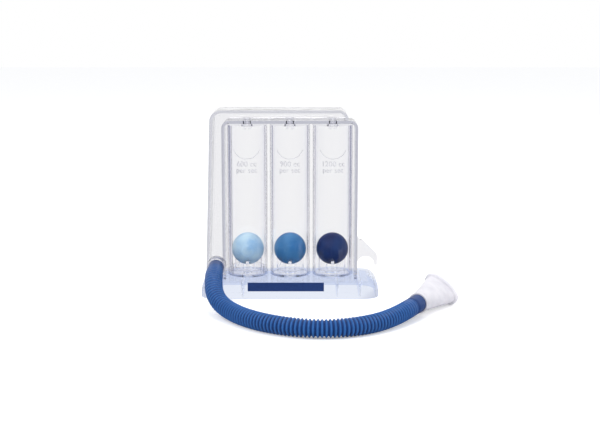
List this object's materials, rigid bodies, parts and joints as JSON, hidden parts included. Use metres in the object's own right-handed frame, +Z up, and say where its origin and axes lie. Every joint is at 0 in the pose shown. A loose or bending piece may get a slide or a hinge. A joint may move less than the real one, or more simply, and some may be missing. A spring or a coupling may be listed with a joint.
{
  "type": "incentive spirometer",
  "caption": "Flow spirometer for breathing exercise: clear ball chambers on a tray base, a side air duct and a corrugated hose with a flared mouthpiece.",
  "frame": {"origin": "centre of the base's underside, on the table that the base stands on", "axes": "+Z up, -Y towards the user's side with the label, +X to the user's right; the duct is at -X"},
  "size_m": [0.198, 0.1688, 0.1455],
  "materials": {
    "clear_base": "clear polystyrene, glossy",
    "clear_frame": "clear polystyrene, glossy",
    "clear_duct": "clear polystyrene, glossy",
    "clear_tube": "clear polystyrene, glossy",
    "clear_seat": "clear polystyrene, glossy",
    "port": "clear polystyrene, glossy",
    "label": "printed film, satin",
    "ball_pale": "semi-gloss",
    "ball_mid": "semi-gloss",
    "ball_dark": "semi-gloss",
    "hose": "soft polyethylene, satin",
    "mouthpiece": "milky polypropylene, semi-gloss"
  },
  "bodies": {
    "body": {"base_shell": "clear_base", "body_frame": "clear_frame", "manifold_duct": "clear_duct", "manifold_back_cover": "clear_duct", "hose_port": "port", "label_strip": "label", "flow_ring_left": "clear_seat", "chamber_web_left": "clear_frame", "chamber_web_right": "clear_frame", "chamber_tube_left": "clear_tube", "chamber_tube_middle": "clear_tube", "chamber_tube_right": "clear_tube", "ball_seat_left": "clear_seat", "ball_seat_middle": "clear_seat", "ball_seat_right": "clear_seat", "ball_stop_left": "clear_seat", "ball_stop_middle": "clear_seat", "ball_stop_right": "clear_seat"},
    "float_left": {"ball_left": "ball_pale"},
    "float_middle": {"ball_middle": "ball_mid"},
    "float_right": {"ball_right": "ball_dark"},
    "hose": {"hose_tube": "hose", "hose_cuff_port": "hose", "hose_cuff_mouth": "hose"},
    "mouth": {"mouthpiece": "mouthpiece"}
  },
  "joints": [
    {"name": "ball_left_lift", "type": "slide", "parent": "body", "child": "float_left", "axis": [0, 0, 1], "range_m": [0, 0.0824]},
    {"name": "ball_middle_lift", "type": "slide", "parent": "body", "child": "float_middle", "axis": [0, 0, 1], "range_m": [0, 0.0824]},
    {"name": "ball_right_lift", "type": "slide", "parent": "body", "child": "float_right", "axis": [0, 0, 1], "range_m": [0, 0.0824]},
    {"name": "hose_pull", "type": "slide", "parent": "body", "child": "hose", "axis": [0, -1, 0], "range_m": [0, 0.0083]},
    {"name": "mouthpiece_pull", "type": "slide", "parent": "hose", "child": "mouth", "axis": [0.4999, 0.8646, 0.05], "range_m": [0, 0.0106]}
  ]
}
